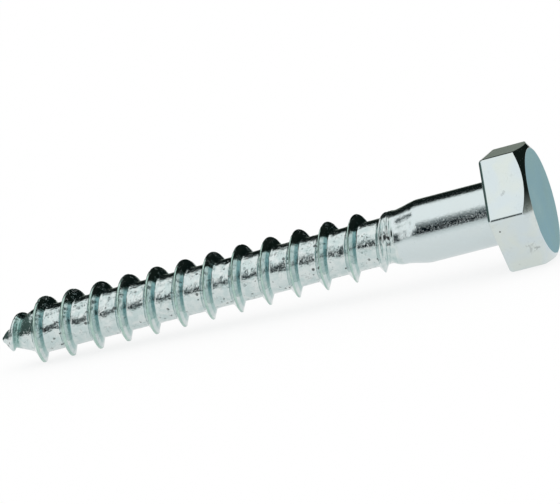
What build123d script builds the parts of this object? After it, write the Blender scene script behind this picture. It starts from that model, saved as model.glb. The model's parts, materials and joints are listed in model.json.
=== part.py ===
from build123d import *
import math
import os

# Lag screw with a hexagon head, lying on a flat surface as it comes to rest.
# Lengths are in millimetres and angles in degrees.
# The origin is the centre of the bearing face under the head.
# +X runs from there towards the head, the point is on the -X side and +Z is up.

# Head
across_flats = 17.0
head_height = 6.6
head_top_diameter = 15.8
head_chamfer_angle = 34.0
head_corner_radius = 0.35
under_head_bevel = 0.4

# Plain shank, and the collar where it steps down to the threaded core
length_under_head = 80.0
shank_diameter = 9.54
plain_shank_length = 11.9
shank_taper_length = 3.2
collar_diameter = 8.1
collar_length = 1.0
collar_step_length = 1.2

# Threaded core and its gimlet point
core_diameter = 6.9
point_length = 6.1
nose_length = 0.9
nose_diameter = 2.3
nose_end_diameter = 0.5

# Wood thread: a thin ridge with a wide plain root between its turns
thread_diameter = 9.9
thread_pitch = 4.6
crest_width = 0.35
flank_angle = 27.0
root_sink = 0.45
least_foot_radius = 0.1

# The hand is 1 for a right-hand thread and -1 for a left-hand one.
# The angle is where the ridge would cross the bearing face, turned from straight up.
thread_hand = -1
thread_start_angle = 227.0

# Where the thread fades out at the collar, and where it fades in at the point
run_out_length = 5.4
run_out_sink = 0.1
lead_in_length = 6.1
lead_in_middle_length = 1.4
lead_in_middle_diameter = 4.1
lead_in_gap = 0.5
lead_in_sink = 0.1

# Lengths that the ridge is built in, the points on each of their edges,
# and the places looked at in each turn for the crest that the screw rests on
lengths_per_turn = 1
points_per_length = 10
looks_per_turn = 100

shank_radius = shank_diameter / 2
collar_radius = collar_diameter / 2
core_radius = core_diameter / 2
thread_radius = thread_diameter / 2

# Stations are distances from the bearing face towards the point.
taper_end = plain_shank_length + shank_taper_length
collar_end = taper_end + collar_length
core_start = collar_end + collar_step_length
point_start = length_under_head - point_length
nose_start = length_under_head - nose_length
ridge_start = taper_end + collar_length / 2
full_ridge_start = ridge_start + run_out_length
lead_in_start = length_under_head - lead_in_length
lead_in_middle = length_under_head - lead_in_middle_length
ridge_end = length_under_head - lead_in_gap


def outline_radius(station, outline):
    """Radius at a station, read from an outline of stations and radii joined by straight lines."""
    for (low, low_radius), (high, high_radius) in zip(outline, outline[1:]):
        if station <= high:
            share = max(station - low, 0) / (high - low)
            return low_radius + (high_radius - low_radius) * share
    return outline[-1][1]


core_outline = [
    (plain_shank_length, shank_radius),
    (taper_end, collar_radius),
    (collar_end, collar_radius),
    (core_start, core_radius),
    (point_start, core_radius),
    (nose_start, nose_diameter / 2),
    (length_under_head, nose_end_diameter / 2),
]

crest_outline = [
    (ridge_start, collar_radius - run_out_sink),
    (full_ridge_start, thread_radius),
    (lead_in_start, thread_radius),
    (lead_in_middle, lead_in_middle_diameter / 2),
    (ridge_end, outline_radius(ridge_end, core_outline) - lead_in_sink),
]


def on_screw(station, radius, angle):
    """Point at a station, a radius and an angle turned about the axis from straight up."""
    turned = math.radians(angle)
    return Vector(-station, radius * math.sin(turned), radius * math.cos(turned))


def thread_angle(station):
    """Angle of the middle of the ridge at a station."""
    return thread_start_angle + thread_hand * 360 * station / thread_pitch


def ridge_section(station):
    """Corners of the ridge: its foot and crest on the head side, then crest and foot on the other."""
    angle = thread_angle(station)
    crest = outline_radius(station, crest_outline)
    foot = max(min(outline_radius(station, core_outline), crest) - root_sink, least_foot_radius)
    half_crest = crest_width / 2
    half_foot = half_crest + (crest - foot) * math.tan(math.radians(flank_angle))
    return [
        on_screw(station - half_foot, foot, angle),
        on_screw(station - half_crest, crest, angle),
        on_screw(station + half_crest, crest, angle),
        on_screw(station + half_foot, foot, angle),
    ]


def ridge_slope(station, corner):
    """How a corner of the ridge moves for each millimetre along the axis."""
    step = thread_pitch / 1000
    behind = ridge_section(station - step)[corner]
    ahead = ridge_section(station + step)[corner]
    return (ahead - behind) * (1 / (2 * step))


def ridge_length_faces(first, last):
    """The four sides of the ridge between two stations, each ruled between two helical edges."""
    stations = [
        first + (last - first) * point / (points_per_length - 1) for point in range(points_per_length)
    ]
    sections = [ridge_section(station) for station in stations]
    edges = [
        Edge.make_spline(
            [section[corner] for section in sections],
            tangents=[ridge_slope(first, corner), ridge_slope(last, corner)],
            parameters=stations,
            scale=False,
        )
        for corner in range(4)
    ]
    return [Face.make_surface_from_curves(edges[side], edges[(side + 1) % 4]) for side in range(4)]


def make_thread():
    """The helical ridge as a closed solid, with its foot sunk into the core."""
    turns = (ridge_end - ridge_start) / thread_pitch
    lengths = math.ceil(turns * lengths_per_turn)
    ends = [ridge_start + (ridge_end - ridge_start) * end / lengths for end in range(lengths + 1)]
    faces = [Face(Wire.make_polygon(ridge_section(end))) for end in (ridge_start, ridge_end)]
    for first, last in zip(ends, ends[1:]):
        faces += ridge_length_faces(first, last)
    return Solid(Shell(faces))


def make_core():
    """Shank, taper, collar, threaded core and point, turned about the axis."""
    with BuildPart() as core:
        with BuildSketch(Plane.XZ):
            with BuildLine():
                Polyline(
                    (-length_under_head, 0),
                    (0, 0),
                    (0, shank_radius + under_head_bevel),
                    (-under_head_bevel, shank_radius),
                    *[(-station, radius) for station, radius in core_outline],
                    (-length_under_head, 0),
                )
            make_face()
        revolve(axis=Axis.X)
    return core.part


def make_head():
    """Hexagon with slightly rounded corners, with the edge of its top turned off to a cone."""
    corner_reach = across_flats / math.sqrt(3)
    top_radius = head_top_diameter / 2
    cone_drop = (corner_reach - top_radius) * math.tan(math.radians(head_chamfer_angle))
    with BuildPart() as head:
        with BuildSketch(Plane.YZ):
            RegularPolygon(across_flats / 2, 6, major_radius=False)
            fillet(vertices(), head_corner_radius)
        extrude(amount=head_height)
        with BuildSketch(Plane.XZ):
            with BuildLine():
                Polyline(
                    (0, 0),
                    (0, corner_reach),
                    (head_height - cone_drop, corner_reach),
                    (head_height, top_radius),
                    (head_height, 0),
                    (0, 0),
                )
            make_face()
        revolve(axis=Axis.X, mode=Mode.INTERSECT)
    return head.part


def rest_tilt():
    """Angle by which the point dips when a flat of the head and the lowest crest touch one plane."""
    looks = looks_per_turn * math.ceil((ridge_end - full_ridge_start) / thread_pitch)
    slopes = []
    for look in range(looks + 1):
        station = full_ridge_start + (ridge_end - full_ridge_start) * look / looks
        crest = on_screw(station, outline_radius(station, crest_outline), thread_angle(station))
        slopes.append(math.atan2(across_flats / 2 + crest.Z, station))
    return math.degrees(min(slopes))


tilt = rest_tilt()
screw = Rot(0, -tilt, 0) * (make_core() + make_thread() + make_head())
lag_screw = screw.solids()[0]

# Where the interfaces lie in the resting frame
to_point = Vector(-1, 0, 0).rotate(Axis.Y, -tilt)
shank_wall_length = plain_shank_length - under_head_bevel
shank_middle = to_point * (under_head_bevel + shank_wall_length / 2)
thread_middle = to_point * ((full_ridge_start + lead_in_start) / 2)
head_middle = to_point * (-head_height / 2)
print("tilt", round(tilt, 3), "towards the point", [round(part, 6) for part in to_point])
print("middle of the shank", [round(part, 3) for part in shank_middle], "length", shank_wall_length)
print("middle of the thread", [round(part, 3) for part in thread_middle])
print("middle of the head", [round(part, 3) for part in head_middle])
print("volume", round(lag_screw.volume, 1), "valid", lag_screw.is_valid, "solids", len(screw.solids()))

os.makedirs("parts", exist_ok=True)
export_step(lag_screw, "parts/lag_screw.step")
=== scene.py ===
import json
import math
import random

import bmesh
import bpy
from mathutils import Matrix, Quaternion, Vector, noise


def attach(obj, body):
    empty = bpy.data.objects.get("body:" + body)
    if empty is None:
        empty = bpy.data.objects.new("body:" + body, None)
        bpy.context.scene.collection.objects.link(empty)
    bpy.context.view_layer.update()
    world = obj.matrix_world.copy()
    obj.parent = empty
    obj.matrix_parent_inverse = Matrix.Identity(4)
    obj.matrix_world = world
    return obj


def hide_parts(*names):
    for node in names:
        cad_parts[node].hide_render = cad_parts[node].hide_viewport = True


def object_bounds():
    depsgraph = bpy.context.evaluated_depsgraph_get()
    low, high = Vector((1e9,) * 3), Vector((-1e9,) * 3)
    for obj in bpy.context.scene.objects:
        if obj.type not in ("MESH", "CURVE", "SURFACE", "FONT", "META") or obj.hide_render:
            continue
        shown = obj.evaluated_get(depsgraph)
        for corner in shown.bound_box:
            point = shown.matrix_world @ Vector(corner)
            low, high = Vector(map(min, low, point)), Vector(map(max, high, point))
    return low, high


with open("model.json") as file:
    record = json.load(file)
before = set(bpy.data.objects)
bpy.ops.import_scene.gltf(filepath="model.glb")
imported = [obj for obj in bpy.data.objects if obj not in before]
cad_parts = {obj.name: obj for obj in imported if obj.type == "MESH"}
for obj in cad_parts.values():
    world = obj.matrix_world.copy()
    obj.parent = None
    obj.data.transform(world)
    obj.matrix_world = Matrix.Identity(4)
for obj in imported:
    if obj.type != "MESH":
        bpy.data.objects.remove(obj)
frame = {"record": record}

cadLow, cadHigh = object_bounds()
print("stage: frame loaded")

# The screw is modelled in millimetres along its own axis, with stations counted from
# the bearing face towards the point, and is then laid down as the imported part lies.
millimetre = 0.001

columns = 120  # round the axis, the same for the head and for what is below it
columnAngle = 2 * math.pi / columns
weldReach = 0.0004  # vertices this close to each other become one


def blendStep(low, high, value):
    share = min(max((value - low) / (high - low), 0.0), 1.0)
    return share * share * (3 - 2 * share)


def softMax(first, second, width):
    near = max(width - abs(first - second), 0.0) / width
    return max(first, second) + near * near * width / 4


def softMin(first, second, width):
    return -softMax(-first, -second, width)


def readOutline(outline, station):
    for (low, lowRadius), (high, highRadius) in zip(outline, outline[1:]):
        if station <= high:
            share = max(station - low, 0.0) / (high - low)
            return lowRadius + (highRadius - lowRadius) * share
    return outline[-1][1]


def aboutAxis(x, radius, angle):
    # The angle is turned about the X axis from straight up towards the back
    return Vector((x, radius * math.sin(angle), radius * math.cos(angle)))


def addObject(name, data):
    made = bpy.data.objects.new(name, data)
    bpy.context.scene.collection.objects.link(made)
    return made


def spinLine(work, places, turn, steps, **rest):
    # A line of edges through the places, spun about the X axis
    line = [work.verts.new(place) for place in places]
    edges = [work.edges.new(pair) for pair in zip(line, line[1:])]
    bmesh.ops.spin(
        work, geom=line + edges, cent=(0, 0, 0), axis=(1, 0, 0), angle=turn, steps=steps,
        use_duplicate=False, **rest,
    )


# Shank, collar and threaded core

shankValues = {
    "length": 80.0,
    "radius": 4.77,
    "plainEnd": 11.9,
    "taperEnd": 15.1,
    "collarRadius": 4.05,
    "collarEnd": 16.1,
    "coreStart": 17.3,
    "coreRadius": 3.45,
    "pointStart": 73.9,
    "noseStart": 79.1,
    "noseRadius": 1.15,
    "tipRadius": 0.25,
    "cornerSpread": 0.3,  # how far a change of radius is rounded to each side
    "leastSpread": 0.02,
    "first": 0.4,  # where the shank meets the small bevel under the head
    "last": 79.75,  # where the rounded tip takes over
}

coreOutline = [
    (shankValues[station], shankValues[radius])
    for station, radius in (
        ("plainEnd", "radius"), ("taperEnd", "collarRadius"), ("collarEnd", "collarRadius"),
        ("coreStart", "coreRadius"), ("pointStart", "coreRadius"),
        ("noseStart", "noseRadius"), ("length", "tipRadius"),
    )
]


def coreRadiusAt(station):
    spread = max(shankValues["length"] - station, shankValues["leastSpread"])
    spread = min(shankValues["cornerSpread"], spread)
    before = readOutline(coreOutline, station - spread)
    after = readOutline(coreOutline, station + spread)
    return (before + 2 * readOutline(coreOutline, station) + after) / 4


# Wood thread

threadValues = {
    "pitch": 4.6,
    "startAngle": 227.0,  # of the ridge at the bearing face, turned from straight up
    "radius": 4.95,
    "halfCrest": 0.175,  # half the width of the crest, as the foot is worked out from it
    "sharpHalfCrest": 0.05,  # the crest is sharper than that towards the head
    "bluntHalfCrest": 0.16,  # and blunter towards the point
    "flankAngle": 27.0,
    "crestRound": 0.1,
    "footRound": 0.2,
    "lowFootRound": (0.2, 1.5),  # its least share, and the height that adds a whole share
    "crestSink": 0.1,  # how far below the surface the crest starts and ends
    "ridgeStart": 15.6,
    "fullStart": 21.0,
    "fadeStart": 73.9,
    "fadeMiddle": 78.6,
    "fadeMiddleRadius": 2.05,
    "ridgeEnd": 79.5,
    "goneStart": 79.2,  # between these the last of the ridge sinks into the tip
    "goneEnd": 79.7,
    "leastHeight": 0.05,
    "leastHalfFoot": 0.35,
    "leastSlope": 1.0,  # how steeply the lowest parts of the ridge fall to the core
    "pointSpread": 0.5,  # how much wider the flanks lie at the point, as a share
    "pointSpreadFull": 77.0,
    "crestWear": 0.05,  # the most that a worn crest is lowered
    "wearScale": 0.9,
    "wearLayer": 3.0,
    "turnsBefore": 2,  # turns of the strip beyond each end, which are pressed flat there
    "turnsBeyond": 1,
}

ridgeStart, fullStart, fadeStart, ridgeEnd = (
    threadValues[key] for key in ("ridgeStart", "fullStart", "fadeStart", "ridgeEnd")
)
crestOutline = [
    (ridgeStart, shankValues["collarRadius"] - threadValues["crestSink"]),
    (fullStart, threadValues["radius"]),
    (fadeStart, threadValues["radius"]),
    (threadValues["fadeMiddle"], threadValues["fadeMiddleRadius"]),
    (ridgeEnd, readOutline(coreOutline, ridgeEnd) - threadValues["crestSink"]),
]

# Where the strip has its edges, as shares of half the ridge's foot and then of what is left
ridgeShares = [0.0, 0.08, 0.16, 0.24, 0.34, 0.5, 0.66, 0.82, 0.94, 1.06]
rootShares = [0.08, 0.2, 0.36, 0.56, 0.78, 1.0]

pitch = threadValues["pitch"]
flankSlope = 1 / math.tan(math.radians(threadValues["flankAngle"]))
nominalHalfFoot = threadValues["halfCrest"] + (
    threadValues["radius"] - shankValues["coreRadius"]
) / flankSlope


def ridgeCentreAt(station, angle):
    turns = (math.radians(threadValues["startAngle"]) - angle) / (2 * math.pi)
    return (turns + round(station / pitch - turns)) * pitch


def halfFootAt(centre):
    height = readOutline(crestOutline, centre) - coreRadiusAt(centre)
    height = max(height, threadValues["leastHeight"])
    spread = blendStep(fadeStart, threadValues["pointSpreadFull"], centre)
    spread *= threadValues["pointSpread"]
    halfFoot = threadValues["halfCrest"] + height / flankSlope * (1 + spread)
    return max(halfFoot, threadValues["leastHalfFoot"])


# Fine ridges that the rolling dies leave beside the first turn, on its head side.
# They fan out half a turn after they start and close up again.
runOutValues = {
    "offsets": [0.72, 1.25, 1.85],
    "heights": [0.36, 0.42, 0.3],
    "halfWidths": [0.27, 0.25, 0.28],
    "closed": 0.4,  # share of each offset that is left where they are together
    "start": 16.2,
    "middle": 17.7,
    "end": 19.1,
    "ragged": 0.5,  # how much their height varies
    "raggedWaves": (9, 5),  # in each millimetre of station and of offset
    "opening": 1.6,  # how quickly they rise as they fan out
}


def runOutFan(centre):
    start, middle, end = (runOutValues[key] for key in ("start", "middle", "end"))
    share = min((centre - start) / (middle - start), (end - centre) / (end - middle))
    return blendStep(0, 1, share)


def runOutHeight(offset, centre):
    fan = runOutFan(centre)
    if fan == 0:
        return 0.0
    reach = runOutValues["closed"] + (1 - runOutValues["closed"]) * fan
    along, between = runOutValues["raggedWaves"]
    total = 0.0
    rows = zip(runOutValues["offsets"], runOutValues["heights"], runOutValues["halfWidths"])
    for place, height, halfWidth in rows:
        share = max(1 - abs(offset + place * reach) / halfWidth, 0.0)
        uneven = noise.noise(Vector((centre * along, place * between, 0)))
        total = max(total, height * (1 + runOutValues["ragged"] * uneven) * share)
    return total * min(fan * runOutValues["opening"], 1)


# Small dents along the crest, by the station of the ridge where each lies
nickValues = {
    "count": 44, "seed": 4, "least": 0.03, "most": 0.11, "length": 0.3, "spread": 1.6,
    "before": 2, "beyond": 3,  # how far they go past the ends of the full crest
}

nickDraw = random.Random(nickValues["seed"])
nicks = []
for nick in range(nickValues["count"]):
    place = nickDraw.uniform(fullStart - nickValues["before"], fadeStart + nickValues["beyond"])
    depth = nickDraw.uniform(nickValues["least"], nickValues["most"])
    nicks.append((place, depth, nickDraw.uniform(1, nickValues["spread"])))


def nickDepth(centre):
    # The ridge passes a nick quickly: a millimetre along the crest is 0.15 mm of station
    advance = pitch / (2 * math.pi * threadValues["radius"])
    total = 0.0
    for place, depth, size in nicks:
        share = 1 - abs(centre - place) / (nickValues["length"] * size * advance)
        if share > 0:
            total = max(total, depth * blendStep(0, 1, share))
    return total


# How uneven the surface is: depth in millimetres, and waves in each millimetre
unevenValues = {
    "rootDepth": 0.04,
    "rootWaves": 1.1,
    "rootFineDepth": 0.02,
    "rootFineWaves": 3.2,
    "rootFineShift": (7, 3, 5),
    "shankDepth": 0.004,
    "shankWaves": 0.9,
    "shankFull": 1.2,  # station from which the shank is as uneven as it gets
    "taperDepth": 0.05,
    "taperWaves": 0.75,
    "taperFull": 13.0,
}


def unevenness(station, angle, radius):
    place = aboutAxis(station, radius, angle)
    rolled = blendStep(shankValues["plainEnd"], shankValues["collarEnd"], station)
    depth, waves = (
        unevenValues["shank" + name] * (1 - rolled) + unevenValues["root" + name] * rolled
        for name in ("Depth", "Waves")
    )
    taper = blendStep(shankValues["plainEnd"], unevenValues["taperFull"], station)
    taper *= 1 - blendStep(shankValues["taperEnd"], shankValues["coreStart"], station)
    coarse = noise.noise(place * waves) * depth
    coarse += noise.noise(place * unevenValues["taperWaves"]) * unevenValues["taperDepth"] * taper
    place = place * unevenValues["rootFineWaves"] + Vector(unevenValues["rootFineShift"])
    return coarse + noise.noise(place) * unevenValues["rootFineDepth"] * rolled


def bodyRadius(station, angle, centre):
    offset = station - centre
    core = coreRadiusAt(station)
    fade = blendStep(shankValues["first"], unevenValues["shankFull"], station)
    fade *= 1 - blendStep(shankValues["noseStart"], shankValues["last"], station)
    core += runOutHeight(offset, centre) + unevenness(station, angle, core) * fade
    if centre < ridgeStart or centre > ridgeEnd:
        return core
    crest = readOutline(crestOutline, centre)
    place = Vector((station, centre, threadValues["wearLayer"]))
    wear = noise.noise(place * threadValues["wearScale"])
    crest -= threadValues["crestWear"] * max(wear, 0.0)
    blunt = blendStep(fullStart, fadeStart, centre)
    halfCrest = threadValues["sharpHalfCrest"] * (1 - blunt)
    halfCrest += threadValues["bluntHalfCrest"] * blunt
    height = max(crest - coreRadiusAt(centre), threadValues["leastHeight"])
    slope = max(height / (halfFootAt(centre) - halfCrest), threadValues["leastSlope"])
    crest -= nickDepth(centre)
    ridge = crest - max(abs(offset) - halfCrest, -halfCrest) * slope
    ridge = softMin(crest, ridge, threadValues["crestRound"])
    least, full = threadValues["lowFootRound"]
    thread = softMax(core, ridge, threadValues["footRound"] * min(height / full + least, 1))
    gone = blendStep(threadValues["goneStart"], threadValues["goneEnd"], station)
    return thread + (core - thread) * gone


def onlyOf(kind, items):
    return [item for item in items if isinstance(item, kind)]


def makeBody():
    # One pitch of edges is spun down the axis as a helical strip, and its turns are welded
    body = bmesh.new()
    shares = [share * nominalHalfFoot / (pitch / 2) for share in ridgeShares]
    rest = 1 - shares[-1]
    shares += [shares[-1] + rest * share for share in rootShares]
    offsets = sorted({side * share * pitch / 2 for share in shares for side in (-1, 1)})
    rows = [share * pitch / 2 for share in shares]
    startAngle = round(math.radians(threadValues["startAngle"]) / columnAngle) * columnAngle
    shift = (math.radians(threadValues["startAngle"]) - startAngle) / (2 * math.pi) * pitch
    turns = math.ceil(shankValues["length"] / pitch)
    turns += threadValues["turnsBefore"] + threadValues["turnsBeyond"]
    first = -threadValues["turnsBefore"] * pitch + shift
    line = [aboutAxis(-(first + offset), 1, startAngle) for offset in offsets]
    spinLine(body, line, 2 * math.pi, columns, dvec=(-pitch / columns, 0, 0))
    oneTurn = body.verts[:] + body.edges[:] + body.faces[:]
    for turn in range(1, turns):
        copied = onlyOf(bmesh.types.BMVert, bmesh.ops.duplicate(body, geom=oneTurn)["geom"])
        bmesh.ops.translate(body, vec=(-pitch * turn, 0, 0), verts=copied)
    print("stage: strip", len(body.verts))
    for vert in body.verts:
        angle = round(math.atan2(vert.co.y, vert.co.z) / columnAngle) * columnAngle
        station = -vert.co.x
        centre = ridgeCentreAt(station, angle)
        offset = station - centre
        share = abs(offset) / nominalHalfFoot
        halfFoot = halfFootAt(centre)
        if share <= ridgeShares[-1]:
            moved = share * halfFoot
        else:
            edge, nominal = (ridgeShares[-1] * foot for foot in (halfFoot, nominalHalfFoot))
            beyond = (abs(offset) - nominal) / (pitch / 2 - nominal)
            moved = edge + (pitch / 2 - edge) * beyond
        if offset < 0 and runOutFan(centre) > 0:  # even rows where the fine ridges lie
            row = min(range(len(rows)), key=lambda place: abs(rows[place] + offset))
            even = row / (len(rows) - 1) * pitch / 2
            moved += (even - moved) * runOutFan(centre)
        station = centre + math.copysign(moved, offset)
        station = min(max(station, shankValues["first"]), shankValues["last"])
        radius = bodyRadius(station, angle, centre)
        vert.co = aboutAxis(-station, radius, angle)
    bmesh.ops.remove_doubles(body, verts=body.verts, dist=weldReach)
    return body


# Rounded end of the point

tipValues = {"rings": 4, "middleShare": 0.35}  # the last ring leaves a share of a step


def closeTip(body):
    past = -shankValues["pointStart"]
    rim = [edge for edge in body.edges if edge.is_boundary and edge.verts[0].co.x < past]
    start = shankValues["last"]
    startRadius = coreRadiusAt(start)
    length = shankValues["length"] - start
    for ring in range(1, tipValues["rings"] + 1):
        turn = ring / (tipValues["rings"] + tipValues["middleShare"]) * math.pi / 2
        made = bmesh.ops.extrude_edge_only(body, edges=rim)["geom"]
        rim = onlyOf(bmesh.types.BMEdge, made)
        for vert in {vert for edge in rim for vert in edge.verts}:
            reach = math.hypot(vert.co.y, vert.co.z)
            scale = startRadius * math.cos(turn) / reach
            vert.co = (-start - length * math.sin(turn), vert.co.y * scale, vert.co.z * scale)
    last = onlyOf(bmesh.types.BMVert, bmesh.ops.extrude_edge_only(body, edges=rim)["geom"])
    bmesh.ops.pointmerge(body, verts=last, merge_co=(-shankValues["length"], 0, 0))


# Hexagon head

headValues = {
    "acrossFlats": 17.0,
    "height": 6.6,
    "topRadius": 7.9,
    "chamferAngle": 34.0,
    "cornerRadius": 0.6,
    "edgeRadius": 0.6,
    "chamferEdgeRadius": 0.1,
    "topEdgeRadius": 0.16,
    "underBevel": 0.4,
    "support": 0.06,  # a row of edges this far from each rounding keeps the flats flat
    "mostSupport": 0.2,  # as a share of the chamfer
    "roundingPoints": 4,
    "columnsPerCorner": 5,
    "columnPower": 0.9,  # how far the columns crowd towards the corners
    "evenRows": 3,  # up to this row the columns are evenly spaced, as they are on the shank
    "driftRows": 6,  # rows from there until they lie as on the hexagon
}

# Where the rows of edges lie on each straight stretch of the outline, as shares of it
headRows = {
    "bevel": [0.0, 0.35, 0.7, 1.0],
    "under": [0.03, 0.25, 0.5, 0.75, 0.93, 0.98],
    "side": [0.07, 0.16, 0.26, 0.37, 0.5, 0.63, 0.74, 0.84, 0.93],
    "chamfer": [0.35, 0.65],
    "top": [0.008, 0.05, 0.13, 0.24, 0.36, 0.5, 0.64, 0.78, 0.9],
}

columnsPerSide = columns // 6


def hexColumn(column):
    # Where a column meets the rounded hexagon: its angle from straight up and its radius
    side, place = divmod(column, columnsPerSide)
    flat = headValues["acrossFlats"] / 2
    rounding = headValues["cornerRadius"]
    halfFlat = flat * math.tan(math.radians(30)) - rounding * math.tan(math.radians(30))
    # Columns run from the middle of one flat, round the corner, to the middle of the next
    half = (columnsPerSide - headValues["columnsPerCorner"]) / 2
    nearer = min(place, columnsPerSide - place)
    if nearer <= half:
        along = halfFlat * math.sin(nearer / half * math.pi / 2) ** headValues["columnPower"]
        across = flat
        if nearer < place:
            along = -along
            side += 1
    else:
        turn = math.radians(60) * (place - half) / (columnsPerSide - 2 * half)
        along = halfFlat + rounding * math.sin(turn)
        across = flat - rounding + rounding * math.cos(turn)
    angle = math.radians(60 * side) + math.atan2(along, across)
    return angle, math.hypot(along, across)


def arcPoints(corner, before, after, radius):
    # Points of a rounding at a corner between two straight stretches, in the plane of a column
    into, out = (before - corner).normalized(), (after - corner).normalized()
    half = into.angle(out) / 2
    reach = radius / math.tan(half)
    centre = corner + (into + out).normalized() * (radius / math.sin(half))
    first, last = corner + into * reach - centre, corner + out * reach - centre
    swing = first.angle_signed(last)
    steps = headValues["roundingPoints"] - 1
    return [
        centre + Matrix.Rotation(-swing * step / steps, 2) @ first for step in range(steps + 1)
    ]


def stretch(first, last, shares):
    return [first + (last - first) * share for share in shares]


def headProfile(reach):
    # Station towards the top of the head and radius, from the shank to the middle of the top
    height, top = headValues["height"], headValues["topRadius"]
    slope = math.tan(math.radians(headValues["chamferAngle"]))
    neck = Vector((-headValues["underBevel"], shankValues["radius"]))
    inner = Vector((0.0, shankValues["radius"] + headValues["underBevel"]))
    under = Vector((0.0, reach))
    shoulder = Vector((height - (reach - top) * slope, reach))
    rim = Vector((height, top))
    centre = Vector((height, 0.0))
    low = arcPoints(under, inner, shoulder, headValues["edgeRadius"])
    middle = arcPoints(shoulder, under, rim, headValues["chamferEdgeRadius"])
    high = arcPoints(rim, shoulder, centre, headValues["topEdgeRadius"])
    support = headValues["support"] / (middle[0] - low[-1]).length
    sideRows = [support, *headRows["side"], 1 - support]
    support = headValues["support"] / (high[0] - middle[-1]).length
    support = min(support, headValues["mostSupport"])
    chamferRows = [support, *headRows["chamfer"], 1 - support]
    points = stretch(neck, inner, headRows["bevel"])
    points += stretch(inner, low[0], headRows["under"]) + low
    points += stretch(low[-1], middle[0], sideRows) + middle
    points += stretch(middle[-1], high[0], chamferRows) + high
    return points + stretch(high[-1], centre, headRows["top"]) + [centre]


def makeHead():
    # A plain line of edges is spun once round the axis, then each column takes its own outline
    head = bmesh.new()
    rows = len(headProfile(headValues["acrossFlats"] / 2))
    line = [(row, 0, 1) for row in range(rows)]
    spinLine(head, line, 2 * math.pi, columns, use_merge=True)
    profiles = {column: headProfile(hexColumn(column)[1]) for column in range(columns)}
    for vert in head.verts:
        even = math.atan2(vert.co.y, vert.co.z) % (2 * math.pi)
        column = round(even / columnAngle) % columns
        row = round(vert.co.x)
        angle, reach = hexColumn(column)
        station, radius = profiles[column][row]
        even = column * columnAngle
        drift = (angle - even + math.pi) % (2 * math.pi) - math.pi
        share = (row - headValues["evenRows"]) / headValues["driftRows"]
        share = min(max(share, 0.0), 1.0)
        vert.co = aboutAxis(station, radius, even + drift * share)
    bmesh.ops.remove_doubles(head, verts=head.verts, dist=weldReach)
    return head


def makeScrew():
    body = makeBody()
    closeTip(body)
    print("stage: body", len(body.faces), "faces")
    head = makeHead()
    print("stage: head", len(head.faces), "faces")
    mesh = bpy.data.meshes.new("lagScrewMesh")
    head.to_mesh(mesh)
    head.free()
    body.from_mesh(mesh)
    bmesh.ops.remove_doubles(body, verts=body.verts, dist=weldReach)
    bmesh.ops.recalc_face_normals(body, faces=body.faces)
    openEdges = sum(1 for edge in body.edges if not edge.is_manifold)
    print("stage: screw", len(body.faces), "faces,", openEdges, "open edges")
    for face in body.faces:
        face.smooth = True
    axis = Vector(frame["record"]["mounts"][0]["axis"])
    tilt = math.atan2(-axis.z, -axis.x)
    lay = Matrix.Rotation(-tilt, 4, "Y") @ Matrix.Scale(millimetre, 4)
    bmesh.ops.transform(body, matrix=lay, verts=body.verts)
    body.to_mesh(mesh)
    body.free()
    return addObject("lagScrew", mesh), tilt


# Zinc plate. The forged head is smooth, the drawn shank is finely rough, and the rolled
# thread is pitted. Depths are in millimetres, and scales are patterns in each millimetre.
# Each finish goes from its start towards the point.
finishes = {
    "headZinc": {
        "start": -10.0,
        "colour": (0.715, 0.78, 0.745), "otherColour": (0.68, 0.765, 0.785), "tintScale": 0.25,
        "roughness": 0.13, "roughnessSpread": 0.08,
        "pitScale": 0.7, "pitShare": 0.02, "pitSize": 0.2, "pitDepth": 0.05, "pitTone": 0.5,
        "grainDepth": 0.002, "grainScale": 0.5,
        "fineDepth": 0.0006, "fineScale": 3.0,
        "markDepth": 0.0, "markTone": 0.12, "markScale": 0.4,
    },
    "shankZinc": {
        "start": 0.4,
        "colour": (0.69, 0.775, 0.785), "otherColour": (0.69, 0.77, 0.775), "tintScale": 0.3,
        "roughness": 0.15, "roughnessSpread": 0.26,
        "pitScale": 1.4, "pitShare": 0.03, "pitSize": 0.2, "pitDepth": 0.03, "pitTone": 0.75,
        "grainDepth": 0.006, "grainScale": 0.9,
        "fineDepth": 0.0055, "fineScale": 4.6,
        "markDepth": 0.0, "markTone": 0.06, "markScale": 0.6,
    },
    "threadZinc": {
        "start": 15.4,
        "colour": (0.72, 0.79, 0.78), "otherColour": (0.60, 0.71, 0.705), "tintScale": 0.8,
        "roughness": 0.14, "roughnessSpread": 0.1,
        "pitScale": 1.6, "pitShare": 0.46, "pitSize": 0.42, "pitDepth": 0.09, "pitTone": 0.3,
        "grainDepth": 0.03, "grainScale": 1.1,
        "fineDepth": 0.02, "fineScale": 2.6,
        "markDepth": 0.02, "markTone": 0.4, "markScale": 0.8,
    },
}

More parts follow.
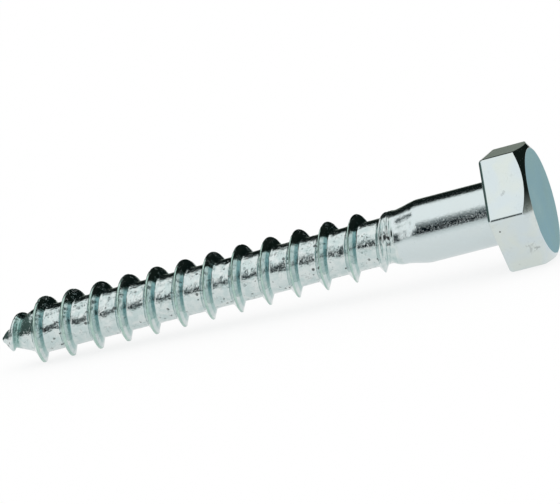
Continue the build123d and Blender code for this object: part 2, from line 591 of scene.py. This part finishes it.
# Painted shade in the corner between the ridge and the root, on the side towards the head, darkest
# round the front of the screw where it stands in for a dark reflection; and the crest, darker and
# rougher. Lengths are in millimetres.
cornerValues = {
    # Painted shade: its tone, and how it darkens round the screw
    "tone": (0.42, 0.57, 0.64),
    "paintedShadeAngle": -71.0,  # from straight up, where the painted shade is darkest
    "paintedShadeStart": 0.72,  # cosine of the angle from there at which the painted shade starts to darken
    "paintedShadeAway": 0.52,  # share of the painted shade that is left away from there
    "unevenScale": 0.7,
    "unevenDetail": 2.0,
    "uneven": 1.1,  # how far the painted shade's edge wanders
    "flankTone": (0.91, 1.0, 0.94),
    "reach": -0.45,  # offset from the middle of the ridge where the stain starts
    "reachBlend": 0.15,
    "rootRadius": 3.53,
    "rootBlend": 0.07,
    "fullRadius": 4.1,
    "lastRadius": 4.75,
    "start": 17.9,
    "startBlend": 1.2,
    "pointTone": (0.52, 0.68, 0.65),  # on the ridge at the point
    "pointStations": (74.9, 75.9),
    "pointNear": (-0.05, -0.25),  # offsets between which that tone starts
    "pointFar": (-0.8, -1.7),  # and ends
    "crestRadius": 4.72,
    "crestBlend": 0.1,
    "crestTone": (0.72, 0.86, 0.79),
    "wornStart": 50.0,
    "crestRoughness": 0.12,  # added there, and at the point
    "pointCrestRoughness": 0.27,
    "rootFade": 0.2,  # height over which the root's finish gives way to the ridge's
    "flankPits": 0.08,  # shares of the pits, relief and roughness that are on the ridge
    "flankDepth": 0.35,
    "flankRoughness": 0.6,
    "pitMiddle": 1.3,  # offset where the root has the most pits
    "pitSwing": 0.35,
}

# Scuffs: middle of each from the bearing face towards the top of the head, then across and
# up, how far it reaches, how full it is and how dark it is
scuffs = {
    "headZinc": [
        ((3.2, -7.75, 3.55), 0.45, 0.38, 0.18),
        ((2.8, -7.93, 3.2), 0.4, 0.38, 0.18),
        ((1.22, -8.78, -1.79), 0.2, 0.6, 0.75),
        ((4.6, -6.6, -5.4), 1.8, 0.27, 0.22),
        ((5.4, -6.6, -5.6), 0.7, 0.35, 0.25),
        ((5.6, -8.6, 0.5), 1.1, 0.3, 0.35),
        ((4.1, 7.4, 4.2), 0.9, 0.3, 0.35),
        ((2.2, 0.6, -8.5), 1.0, 0.3, 0.35),
    ],
    "threadZinc": [
        ((-16.6, -3.76, 1.04), 0.65, 0.5, 0.8),
        ((-16.05, -4.0, 0.65), 0.45, 0.55, 0.85),
        ((-28.7, -3.3, -1.0), 0.3, 0.7, 0.8),
        ((-44.6, -3.2, 1.2), 0.5, 0.45, 0.7),
        ((-63.3, -2.9, 1.8), 0.6, 0.45, 0.7),
        ((-68.2, -3.2, 0.9), 0.6, 0.5, 0.75),
        ((-71.9, -3.3, 0.4), 0.6, 0.5, 0.75),
        ((-16.5, -4.0, -0.02), 0.6, 0.35, 0.6),
    ],
}

# Painted sheen, partly the plate's own tint: soft lighter, bluer and darker patches on the top of
# the head: middle, how far each reaches and its tone
sheens = {
    "headZinc": [
        ((6.6, -4.4, 0.1), 3.4, (1.14, 1.08, 1.03)),
        ((6.6, -3.0, -4.8), 5.2, (0.98, 1.02, 1.1)),
        ((6.6, 2.6, 1.6), 3.4, (0.96, 0.96, 0.97)),
    ],
}

# Patterns that the materials share. Scales are patterns in each millimetre, and levels are
# where a mask starts and where it is full.
patternValues = {
    "pitting": {"rippleScale": 3.5, "detail": 2.0, "ripple": 0.3, "edge": 0.07},
    "scuff": {"solid": 0.35, "scale": 2.6, "detail": 3.0, "warp": 0.8, "levels": (0.74, 0.84)},
    "sheen": {"scale": 0.5, "detail": 2.0, "uneven": 3.0, "solid": 0.1, "below": (0.4, 0.15)},
    "tint": {"detail": 2.0, "warp": 0.6, "levels": (0.38, 0.62)},
    "scratches": {"detail": 1.5, "warp": 2.2, "width": 0.012, "patchDetail": 2.0,
                  "patchShift": (11.0, 5.0, 3.0), "levels": (0.53, 0.6)},
    "relief": {"grainDetail": 3.0, "grainWarp": 0.4, "fineDetail": 2.0, "pitRoughness": 0.2},
}


socketKinds = {  # the others are floats
    "Place": "Vector", "Middle": "Vector",
    "Tone": "Color", "Other Tone": "Color", "Color": "Color",
}


def newGroup(name, inputs, outputs):
    group = bpy.data.node_groups.new(name, "ShaderNodeTree")
    for side, labels in (("INPUT", inputs), ("OUTPUT", outputs)):
        for label in labels:
            kind = "NodeSocket" + socketKinds.get(label, "Float")
            group.interface.new_socket(name=label, in_out=side, socket_type=kind)
    given, made = (group.nodes.new("NodeGroup" + side) for side in ("Input", "Output"))
    return group, given.outputs, made.inputs


def setSockets(tree, sockets, values):
    # Each value is another socket to link to, or a constant for the socket itself
    for socket, value in zip(sockets, values):
        if isinstance(value, bpy.types.NodeSocket):
            tree.links.new(value, socket)
        elif socket.type == "RGBA":
            socket.default_value = (*value, 1) if isinstance(value, tuple) else (*[value] * 3, 1)
        else:
            socket.default_value = value


def joinMath(tree, operation, *values):
    node = tree.nodes.new("ShaderNodeMath")
    node.operation = operation
    setSockets(tree, node.inputs, values)
    return node.outputs[0]


def joinProduct(tree, first, *others):
    for other in others:
        first = joinMath(tree, "MULTIPLY", first, other)
    return first


def joinVector(tree, operation, *values):
    node = tree.nodes.new("ShaderNodeVectorMath")
    node.operation = operation
    setSockets(tree, node.inputs, values)
    return node.outputs["Value" if operation in ("DISTANCE", "DOT_PRODUCT") else "Vector"]


def joinRange(tree, value, low, high, first=0.0, last=1.0):
    node = tree.nodes.new("ShaderNodeMapRange")
    setSockets(tree, node.inputs, (value, low, high, first, last))
    return node.outputs["Result"]


def joinNoise(tree, place, scale, detail, distortion=0.0):
    node = tree.nodes.new("ShaderNodeTexNoise")
    sockets = (node.inputs[name] for name in ("Vector", "Scale", "Detail", "Distortion"))
    setSockets(tree, sockets, (place, scale, detail, distortion))
    return node.outputs[0]


def joinUneven(tree, place, scale, detail, distortion=0.0):
    # Noise that goes as far below nothing as above it, by half at most
    level = joinNoise(tree, place, scale, detail, distortion)
    return joinMath(tree, "SUBTRACT", level, 0.5)


def joinMix(tree, kind, share, first, second):
    node = tree.nodes.new("ShaderNodeMix")
    node.data_type = "RGBA"
    node.blend_type = kind
    setSockets(tree, (node.inputs[0], node.inputs[6], node.inputs[7]), (share, first, second))
    return node.outputs[2]


def splitPlace(tree, place):
    node = tree.nodes.new("ShaderNodeSeparateXYZ")
    tree.links.new(place, node.inputs["Vector"])
    return node.outputs


def makePitting():
    # Small round pits in a share of the cells of a Voronoi pattern
    group, given, made = newGroup("pitting", ["Place", "Scale", "Share", "Size"], ["Mask"])
    values = patternValues["pitting"]
    ripple = joinNoise(group, given["Place"], values["rippleScale"], values["detail"])
    ripple = ripple.node.outputs["Color"]
    cells = group.nodes.new("ShaderNodeTexVoronoi")
    warp = joinVector(group, "MULTIPLY_ADD", ripple, (values["ripple"],) * 3, given["Place"])
    group.links.new(warp, cells.inputs["Vector"])
    group.links.new(given["Scale"], cells.inputs["Scale"])
    split = group.nodes.new("ShaderNodeSeparateColor")
    group.links.new(cells.outputs["Color"], split.inputs["Color"])
    start = joinMath(group, "SUBTRACT", 1.0, given["Share"])
    size = joinRange(group, split.outputs["Red"], start, 1.0, 0.0, given["Size"])
    depth = joinMath(group, "SUBTRACT", size, cells.outputs["Distance"])
    mask = joinRange(group, depth, 0.0, values["edge"])
    group.links.new(mask, made["Mask"])
    return group


def makeHelix():
    # Distance of a place from the middle of the nearest ridge, and that ridge's station
    group, given, made = newGroup("helix", ["Place"], ["Offset", "Centre", "Radius"])
    split = splitPlace(group, given["Place"])
    station = joinProduct(group, split["X"], -1.0)
    angle = joinMath(group, "ARCTAN2", split["Y"], split["Z"])
    turns = joinMath(
        group, "MULTIPLY_ADD", station, 1 / pitch, joinMath(group, "DIVIDE", angle, 2 * math.pi)
    )
    turns = joinMath(group, "SUBTRACT", turns, threadValues["startAngle"] / 360)
    nearest = joinMath(group, "ROUND", turns)
    offset = joinProduct(group, joinMath(group, "SUBTRACT", turns, nearest), pitch)
    squares = joinProduct(group, split["Y"], split["Y"])
    squares = joinMath(group, "MULTIPLY_ADD", split["Z"], split["Z"], squares)
    group.links.new(offset, made["Offset"])
    group.links.new(joinMath(group, "SUBTRACT", station, offset), made["Centre"])
    group.links.new(joinMath(group, "SQRT", squares), made["Radius"])
    return group


def makeScuffs():
    # Rough marks within a small reach of one place
    group, given, made = newGroup("scuff", ["Place", "Middle", "Reach", "Fill"], ["Mask"])
    values = patternValues["scuff"]
    away = joinVector(group, "DISTANCE", given["Place"], given["Middle"])
    share = joinMath(group, "DIVIDE", away, given["Reach"])
    near = joinRange(group, share, values["solid"], 1.0, 1.0, 0.0)
    rough = joinNoise(group, given["Place"], values["scale"], values["detail"], values["warp"])
    level = joinMath(group, "MULTIPLY_ADD", near, given["Fill"], rough)
    group.links.new(joinRange(group, level, *values["levels"]), made["Mask"])
    return group


def makeSheen():
    # A painted sheen: a soft patch with an uneven edge, on the top of the head only
    group, given, made = newGroup("sheen", ["Place", "Middle", "Reach"], ["Mask"])
    values = patternValues["sheen"]
    away = joinVector(group, "DISTANCE", given["Place"], given["Middle"])
    uneven = joinUneven(group, given["Place"], values["scale"], values["detail"])
    away = joinMath(group, "MULTIPLY_ADD", uneven, values["uneven"], away)
    share = joinMath(group, "DIVIDE", away, given["Reach"])
    low, high = (headValues["height"] - below for below in values["below"])
    onTop = joinRange(group, splitPlace(group, given["Place"])["X"], low, high)
    near = joinRange(group, share, values["solid"], 1.0, 1.0, 0.0)
    group.links.new(joinProduct(group, near, onTop), made["Mask"])
    return group


def makeTint():
    # The plate drifts between two tones
    group, given, made = newGroup("plateTint", ["Place", "Scale", "Tone", "Other Tone"], ["Color"])
    values = patternValues["tint"]
    drift = joinNoise(group, given["Place"], given["Scale"], values["detail"], values["warp"])
    share = joinRange(group, drift, *values["levels"])
    mix = joinMix(group, "MIX", share, given["Tone"], given["Other Tone"])
    group.links.new(mix, made["Color"])
    return group


def makeScratches():
    # Thin broken scratches, where a warped noise crosses its middle, kept in patches
    group, given, made = newGroup("scratches", ["Place", "Scale"], ["Mask"])
    values = patternValues["scratches"]
    place, scale = given["Place"], given["Scale"]
    line = joinUneven(group, place, scale, values["detail"], values["warp"])
    line = joinRange(group, joinMath(group, "ABSOLUTE", line), 0.0, values["width"], 1.0, 0.0)
    place = joinVector(group, "ADD", place, values["patchShift"])
    patch = joinNoise(group, place, scale, values["patchDetail"])
    patch = joinRange(group, patch, *values["levels"])
    group.links.new(joinProduct(group, line, patch), made["Mask"])
    return group


def placeGroup(tree, group, **values):
    node = tree.nodes.new("ShaderNodeGroup")
    node.node_tree = group
    sockets = (node.inputs[name.replace("_", " ")] for name in values)
    setSockets(tree, sockets, values.values())
    return node.outputs


def darken(tree, colour, mask, tone):
    # Where the mask is 1 the colour is multiplied by the tone
    return joinMix(tree, "MULTIPLY", mask, colour, tone)


def addCorner(tree, place, groups, colour, roughness):
    # Colour and roughness of the thread, and its shares of the pits and of the relief
    values = cornerValues
    helix = placeGroup(tree, groups["helix"], Place=place)
    offset, centre, reached = (helix[name] for name in ("Offset", "Centre", "Radius"))
    start, foot, crest = (values[name] for name in ("start", "rootRadius", "crestRadius"))

    # The ridge's side towards the head, and the painted shade where it meets the root
    edge = values["reach"]
    side = joinRange(tree, offset, edge, edge - values["reachBlend"])
    above = joinRange(tree, reached, foot, foot + values["rootBlend"])
    along = joinRange(tree, centre, start, start + values["startBlend"])
    flank = joinProduct(tree, side, above, along)
    colour = darken(tree, colour, flank, values["flankTone"])
    uneven = joinUneven(tree, place, values["unevenScale"], values["unevenDetail"])
    radius = joinMath(tree, "MULTIPLY_ADD", uneven, values["uneven"], reached)
    paintedCornerShade = joinRange(tree, radius, values["fullRadius"], values["lastRadius"], 1.0, 0.0)
    # The painted shade is darkest round the front of the screw, where it stands in for a dark
    # reflection
    paintedShadeAngle = math.radians(values["paintedShadeAngle"])
    paintedShadeSide = (0, math.sin(paintedShadeAngle), math.cos(paintedShadeAngle))
    paintedShade = joinMath(tree, "DIVIDE", joinVector(tree, "DOT_PRODUCT", place, paintedShadeSide), reached)
    paintedShade = joinRange(tree, paintedShade, values["paintedShadeStart"], 1.0, values["paintedShadeAway"], 1.0)
    colour = darken(tree, colour, joinProduct(tree, paintedCornerShade, flank, paintedShade), values["tone"])

    # The ridge at the point, and the crest, darker and rougher
    atPoint = joinRange(tree, centre, *values["pointStations"])
    near = joinRange(tree, offset, *values["pointNear"])
    far = joinRange(tree, offset, *values["pointFar"], 1.0, 0.0)
    atPoint = joinProduct(tree, atPoint, near, far)
    colour = darken(tree, colour, atPoint, values["pointTone"])
    onCrest = joinRange(tree, reached, crest, crest + values["crestBlend"])
    colour = darken(tree, colour, onCrest, values["crestTone"])

    # Pits lie thick in the middle of the root, and the ridge itself is smoother
    wave = joinMath(tree, "SUBTRACT", offset, values["pitMiddle"])
    wave = joinMath(tree, "COSINE", joinProduct(tree, wave, 2 * math.pi / pitch))
    wave = joinMath(tree, "MULTIPLY_ADD", wave, values["pitSwing"], 1 - values["pitSwing"])
    onRoot = joinRange(tree, reached, foot, foot + values["rootFade"], 1.0, 0.0)
    pits, depth, polish = (
        joinRange(tree, onRoot, 0.0, 1.0, values[name], 1.0)
        for name in ("flankPits", "flankDepth", "flankRoughness")
    )
    roughness = joinProduct(tree, roughness, polish)
    worn = joinRange(
        tree, centre, values["wornStart"], fadeStart,
        values["crestRoughness"], values["pointCrestRoughness"],
    )
    roughness = joinMath(tree, "MULTIPLY_ADD", onCrest, worn, roughness)
    return colour, roughness, joinProduct(tree, wave, pits), depth


def makeZinc(name, values, groups, tilt):
    relief = patternValues["relief"]
    material = bpy.data.materials.new(name)
    material.use_nodes = True
    tree = material.node_tree
    shader = tree.nodes["Principled BSDF"]
    shader.inputs["Metallic"].default_value = 1
    where = tree.nodes.new("ShaderNodeTexCoord")
    turn = tree.nodes.new("ShaderNodeMapping")  # into millimetres along the screw's axis
    turn.inputs["Rotation"].default_value = (0, tilt, 0)
    turn.inputs["Scale"].default_value = (1 / millimetre,) * 3
    tree.links.new(where.outputs["Object"], turn.inputs["Vector"])
    place = turn.outputs["Vector"]
    colour = placeGroup(
        tree, groups["tint"], Place=place, Scale=values["tintScale"], Tone=values["colour"],
        Other_Tone=values["otherColour"],
    )["Color"]
    pits = placeGroup(
        tree, groups["pitting"], Place=place, Scale=values["pitScale"],
        Share=values["pitShare"], Size=values["pitSize"],
    )["Mask"]
    marks = placeGroup(tree, groups["scratches"], Place=place, Scale=values["markScale"])["Mask"]
    grain = joinUneven(
        tree, place, values["grainScale"], relief["grainDetail"], relief["grainWarp"]
    )
    fine = joinUneven(tree, place, values["fineScale"], relief["fineDetail"])
    spread = joinProduct(tree, fine, values["roughnessSpread"] * 2)
    roughness = joinMath(tree, "ADD", spread, values["roughness"])
    if name == "threadZinc":
        colour, roughness, share, depth = addCorner(tree, place, groups, colour, roughness)
        pits = joinProduct(tree, pits, share)
        fine = joinProduct(tree, fine, depth)
        grain = joinProduct(tree, grain, depth)
    # Painted sheen on the top of the head
    for middle, reach, tone in sheens.get(name, []):
        sheen = placeGroup(tree, groups["sheen"], Place=place, Middle=middle, Reach=reach)
        colour = darken(tree, colour, sheen["Mask"], tone)
    for middle, reach, fill, dark in scuffs.get(name, []):
        scuff = placeGroup(
            tree, groups["scuff"], Place=place, Middle=middle, Reach=reach, Fill=fill
        )
        colour = darken(tree, colour, scuff["Mask"], 1 - dark)
    colour = darken(tree, colour, pits, values["pitTone"])
    colour = darken(tree, colour, marks, 1 - values["markTone"])
    tree.links.new(colour, shader.inputs["Base Color"])
    roughness = joinMath(tree, "MULTIPLY_ADD", pits, relief["pitRoughness"], roughness)
    tree.links.new(roughness, shader.inputs["Roughness"])
    height = joinProduct(tree, grain, values["grainDepth"] * 2)
    height = joinMath(tree, "MULTIPLY_ADD", fine, values["fineDepth"] * 2, height)
    height = joinMath(tree, "MULTIPLY_ADD", pits, -values["pitDepth"], height)
    height = joinMath(tree, "MULTIPLY_ADD", marks, -values["markDepth"], height)
    bump = tree.nodes.new("ShaderNodeBump")
    bump.inputs["Distance"].default_value = millimetre
    tree.links.new(height, bump.inputs["Height"])
    tree.links.new(bump.outputs["Normal"], shader.inputs["Normal"])
    return material


def finishScrew(screw, tilt):
    groups = {
        "pitting": makePitting(), "tint": makeTint(), "scratches": makeScratches(),
        "helix": makeHelix(), "scuff": makeScuffs(), "sheen": makeSheen(),
    }
    for name, values in finishes.items():
        screw.data.materials.append(makeZinc(name, values, groups, tilt))
    toAxis = Matrix.Rotation(tilt, 3, "Y")
    starts = [values["start"] for values in finishes.values()]
    for face in screw.data.polygons:
        station = -(toAxis @ face.center).x / millimetre
        face.material_index = sum(station > start for start in starts) - 1


screw, tilt = makeScrew()
finishScrew(screw, tilt)
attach(screw, "root")
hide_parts("lag_screw")
print("stage: zinc plate")

# Floor and the panels that the metal mirrors

stageValues = {
    "floorHalfWidth": 6.0,
    "floorColour": 0.97,
    "floorGlow": 0.8,  # share of the floor's white that no shadow reaches
    "floorGlowInMetal": 0.86,
    "worldDiffuse": 1.03,
    "sweepSteps": 32,
}


def emptyTree(owner):
    owner.use_nodes = True
    owner.node_tree.nodes.clear()
    return owner.node_tree


def newPath(tree):
    # The camera's rays alone, and together with glossy and transmission rays
    path = tree.nodes.new("ShaderNodeLightPath").outputs
    reach = camera = path["Is Camera Ray"]
    for name in ("Is Glossy Ray", "Is Transmission Ray"):
        reach = joinMath(tree, "MAXIMUM", reach, path[name])
    return camera, reach


def addStage(name, work, material):
    mesh = bpy.data.meshes.new(name + "Mesh")
    work.to_mesh(mesh)
    work.free()
    mesh.materials.append(material)
    made = addObject(name, mesh)
    return made


def makeFloor():
    work = bmesh.new()
    half = stageValues["floorHalfWidth"]
    bmesh.ops.create_grid(work, x_segments=1, y_segments=1, size=half)
    bmesh.ops.translate(work, vec=(0, 0, cadLow.z), verts=work.verts)
    material = bpy.data.materials.new("paleFloor")
    tree = emptyTree(material)
    matt = tree.nodes.new("ShaderNodeBsdfDiffuse")
    matt.inputs["Color"].default_value = (*[stageValues["floorColour"]] * 3, 1)
    camera, reach = newPath(tree)
    strength = joinRange(tree, camera, 0.0, 1.0, stageValues["floorGlowInMetal"], 1.0)
    glow = tree.nodes.new("ShaderNodeEmission")
    tree.links.new(strength, glow.inputs["Strength"])
    mix = tree.nodes.new("ShaderNodeMixShader")
    share = joinProduct(tree, reach, stageValues["floorGlow"])
    tree.links.new(share, mix.inputs["Fac"])
    tree.links.new(matt.outputs["BSDF"], mix.inputs[1])
    tree.links.new(glow.outputs["Emission"], mix.inputs[2])
    out = tree.nodes.new("ShaderNodeOutputMaterial")
    tree.links.new(mix.outputs["Shader"], out.inputs["Surface"])
    addStage("floor", work, material)


def makeWorld():
    world = bpy.data.worlds.new("studio")
    bpy.context.scene.world = world
    tree = emptyTree(world)
    strength = joinRange(tree, newPath(tree)[1], 0.0, 1.0, stageValues["worldDiffuse"], 1.0)
    background = tree.nodes.new("ShaderNodeBackground")
    background.inputs["Color"].default_value = (1, 1, 1, 1)
    tree.links.new(strength, background.inputs["Strength"])
    out = tree.nodes.new("ShaderNodeOutputWorld")
    tree.links.new(background.outputs["Background"], out.inputs["Surface"])


# Curved panels round the screw. Angles are turned about the X axis from straight up towards
# the back, lengths are in millimetres, and each tone is a share of the sweep with its colour.
curvedPanels = {
    "backdropPanel": {
        "radius": 700, "from": 17, "to": 89, "low": -900, "high": 900,
        "tones": [(0.0, (0.9, 0.92, 0.91)), (0.065, (0.4, 0.43, 0.42)),
                  (0.12, (0.006, 0.01, 0.009)), (1.0, (0.006, 0.01, 0.009))],
    },
    "leftBackPanel": {
        "radius": 680, "from": 74, "to": 89, "low": -700, "high": -70,
        "tones": [(0.0, (0.2, 0.225, 0.195))],
    },
    "frontPanel": {
        "radius": 420, "from": -47, "to": -92, "low": -174, "high": -72,
        "tones": [(0.0, (0.8, 0.82, 0.82)), (0.16, (0.4, 0.42, 0.42)),
                  (0.32, (0.16, 0.18, 0.18)), (0.5, (0.03, 0.04, 0.045)),
                  (0.65, (0.0, 0.004, 0.006)), (1.0, (0.0, 0.003, 0.005))],
    },
    "frontStrip": {
        "radius": 430, "from": -70, "to": -92, "low": -360, "high": -174,
        "tones": [(0.0, (0.5, 0.53, 0.53)), (0.4, (0.07, 0.08, 0.085)),
                  (1.0, (0.02, 0.03, 0.03))],
    },
}

# Flat panels, by the middle of each, its two half sides, its turns about X and then Z,
# and its tones by height
flatPanels = {
    "nearBluePanel": {"middle": (19, 34, -8.4), "half": (13, 33), "tip": 0, "turn": -17,
                      "tones": [(0, (0.285, 0.425, 0.46))]},
    "farBluePanel": {"middle": (55, 150, -8.4), "half": (45, 103), "tip": 0, "turn": -17,
                     "tones": [(0, (0.285, 0.425, 0.46))]},
    "frontSheet": {"middle": (-100, -220, -8.05), "half": (200, 200), "tip": 0.1, "turn": 0,
                   "tones": [(-8.399, (0.02, 0.03, 0.03)), (-8.19, (0.12, 0.14, 0.14)),
                             (-8.015, (0.28, 0.3, 0.3)), (-7.86, (0.5, 0.52, 0.52)),
                             (-7.74, (0.68, 0.7, 0.7)), (-7.7, (0.87, 0.88, 0.88))]},
    "sidePanel": {"middle": (110, 60, 60), "half": (250, 68.5), "tip": 90, "turn": 90,
                  "tones": [(-8, (0.32, 0.33, 0.3)), (8, (0.1, 0.11, 0.1)),
                            (26, (0.008, 0.012, 0.01))]},
    "leftPanel": {"middle": (-420, 60, 196), "half": (360, 204), "tip": 90, "turn": 90,
                  "tones": [(-8, (0.05, 0.07, 0.065)), (300, (0.07, 0.11, 0.1)),
                            (400, (0.3, 0.4, 0.36))]},
    "upperLeftPanel": {"middle": (-300, -30, 400), "half": (48, 70), "tip": 0, "turn": 25,
                       "tones": [(0, (0.1, 0.12, 0.12))]},
}


def glowMaterial(name, tones, byAngle=False):
    # Each tone has its place: the angle about the X axis from straight up, or the height
    material = bpy.data.materials.new(name)
    tree = emptyTree(material)
    glow = tree.nodes.new("ShaderNodeEmission")
    out = tree.nodes.new("ShaderNodeOutputMaterial")
    tree.links.new(glow.outputs["Emission"], out.inputs["Surface"])
    if len(tones) == 1:
        glow.inputs["Color"].default_value = (*tones[0][1], 1)
        return material
    split = splitPlace(tree, tree.nodes.new("ShaderNodeTexCoord").outputs["Object"])
    if byAngle:
        reading = joinMath(tree, "ARCTAN2", split["Y"], split["Z"])
        unit = math.radians(1)
    else:
        reading = split["Z"]
        unit = millimetre
    first, last = tones[0][0] * unit, tones[-1][0] * unit
    ramp = tree.nodes.new("ShaderNodeValToRGB")
    while len(ramp.color_ramp.elements) < len(tones):
        ramp.color_ramp.elements.new(1.0)
    for element, (place, colour) in zip(ramp.color_ramp.elements, tones):
        element.position = (place * unit - first) / (last - first)
        element.color = (*colour, 1)
    tree.links.new(joinRange(tree, reading, first, last), ramp.inputs["Fac"])
    tree.links.new(ramp.outputs["Color"], glow.inputs["Color"])
    return material


def seenInMetalOnly(panel):
    panel.visible_camera = False
    panel.visible_diffuse = False
    panel.visible_shadow = False
    panel.visible_volume_scatter = False


def makeCurvedPanel(name, values):
    work = bmesh.new()
    first = math.radians(values["from"])
    sweep = values["to"] - values["from"]
    ends = [aboutAxis(values[end], values["radius"], first) for end in ("low", "high")]
    spinLine(work, ends, -math.radians(sweep), stageValues["sweepSteps"])
    bmesh.ops.scale(work, vec=(millimetre,) * 3, verts=work.verts)
    tones = [(values["from"] + sweep * share, colour) for share, colour in values["tones"]]
    seenInMetalOnly(addStage(name, work, glowMaterial(name + "Finish", tones, True)))


def makeFlatPanel(name, values):
    work = bmesh.new()
    bmesh.ops.create_grid(work, x_segments=1, y_segments=1, size=1)
    lay = Matrix.Translation(values["middle"])
    lay = lay @ Matrix.Rotation(math.radians(values["turn"]), 4, "Z")
    lay = lay @ Matrix.Rotation(math.radians(values["tip"]), 4, "X")
    lay = Matrix.Scale(millimetre, 4) @ lay @ Matrix.Diagonal((*values["half"], 1, 1))
    bmesh.ops.transform(work, matrix=lay, verts=work.verts)
    seenInMetalOnly(addStage(name, work, glowMaterial(name + "Finish", values["tones"])))


makeFloor()
makeWorld()
for name, values in curvedPanels.items():
    makeCurvedPanel(name, values)
for name, values in flatPanels.items():
    makeFlatPanel(name, values)
print("stage: floor, world and panels")

# Camera, where the photograph was taken from

cameraValues = {
    "azimuth": 16.34,
    "elevation": 7.5,
    "roll": -13.866,
    "aim": (-34.189, 1.047, 0.528),
    "distance": 518.218,
    "lens": 223.965,
    "clip": (0.01, 50),
}


def makeCamera():
    turn, rise = (math.radians(cameraValues[key]) for key in ("azimuth", "elevation"))
    back = Vector(
        (math.sin(turn) * math.cos(rise), -math.cos(turn) * math.cos(rise), math.sin(rise))
    )
    camera = addObject("camera", bpy.data.cameras.new("camera"))
    camera.data.lens = cameraValues["lens"]
    camera.data.clip_start, camera.data.clip_end = cameraValues["clip"]
    camera.location = (Vector(cameraValues["aim"]) + back * cameraValues["distance"]) * millimetre
    camera.rotation_mode = "QUATERNION"
    roll = Quaternion((0, 0, 1), math.radians(cameraValues["roll"]))
    camera.rotation_quaternion = back.to_track_quat("Z", "Y") @ roll
    bpy.context.scene.camera = camera


makeCamera()
bpy.context.scene.view_settings.view_transform = "Standard"
print("stage: camera")
